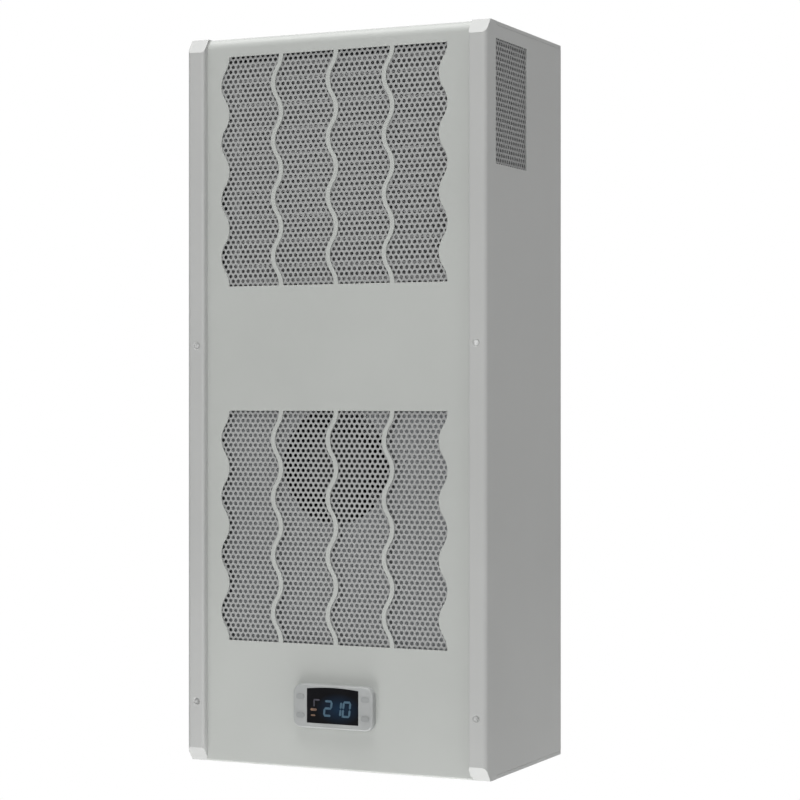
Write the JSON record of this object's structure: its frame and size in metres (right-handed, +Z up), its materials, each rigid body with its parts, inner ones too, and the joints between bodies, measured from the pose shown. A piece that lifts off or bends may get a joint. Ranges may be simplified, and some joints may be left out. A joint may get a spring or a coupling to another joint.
{
  "type": "panel-mounted enclosure air conditioner",
  "caption": "Slim grey sheet-metal cooling unit for a cabinet wall, with two wavy perforated front grilles, raised side rails, side vents and a small panel controller.",
  "frame": {"origin": "centre of the rear sealing face, on the gasket's middle bar, where the unit meets the cabinet", "axes": "+Y points out of the rear face into the cabinet, +Z up along the unit's height, +X to the right seen from the front"},
  "size_m": [0.29, 0.178, 0.655],
  "materials": {
    "housing": "light grey fine-texture powder coat",
    "front": "light grey fine-texture powder coat",
    "zinc_sheet": "zinc-coated sheet",
    "fan_black": "black cast frame",
    "motor": "turned steel",
    "fan_blades": "black moulded plastic",
    "coil": "brazed aluminium",
    "seal": "closed-cell foam",
    "bezel": "pale grey moulded plastic",
    "window": "black display window",
    "keys": "soft grey keys",
    "case": "black moulded case",
    "spigot": "black moulded plastic"
  },
  "bodies": {
    "housing": {"right_side_panel": "housing", "left_side_panel": "housing", "top_cover": "housing", "bottom_tray": "housing", "front_panel": "front", "upper_grille": "front", "lower_grille": "front", "right_vent_grille": "housing", "left_vent_grille": "housing", "intake_baffle": "zinc_sheet", "fan_frame": "fan_black", "fan_motor": "motor", "condenser_coil": "coil", "right_coil_bracket": "zinc_sheet", "left_coil_bracket": "zinc_sheet", "partition": "zinc_sheet", "rear_plate": "zinc_sheet", "return_guard": "zinc_sheet", "supply_guard": "zinc_sheet", "rear_gasket": "seal", "controller_bezel": "bezel", "controller_window": "window", "controller_keys": "keys", "controller_body": "case", "drain_spigot": "spigot"},
    "rotor": {"fan_rotor": "fan_blades"}
  },
  "joints": [
    {"name": "fan_spin", "type": "hinge", "parent": "housing", "child": "rotor", "pos_m": [-0.004, -0.145, -0.057], "axis": [0, -1, 0], "continuous": true}
  ]
}
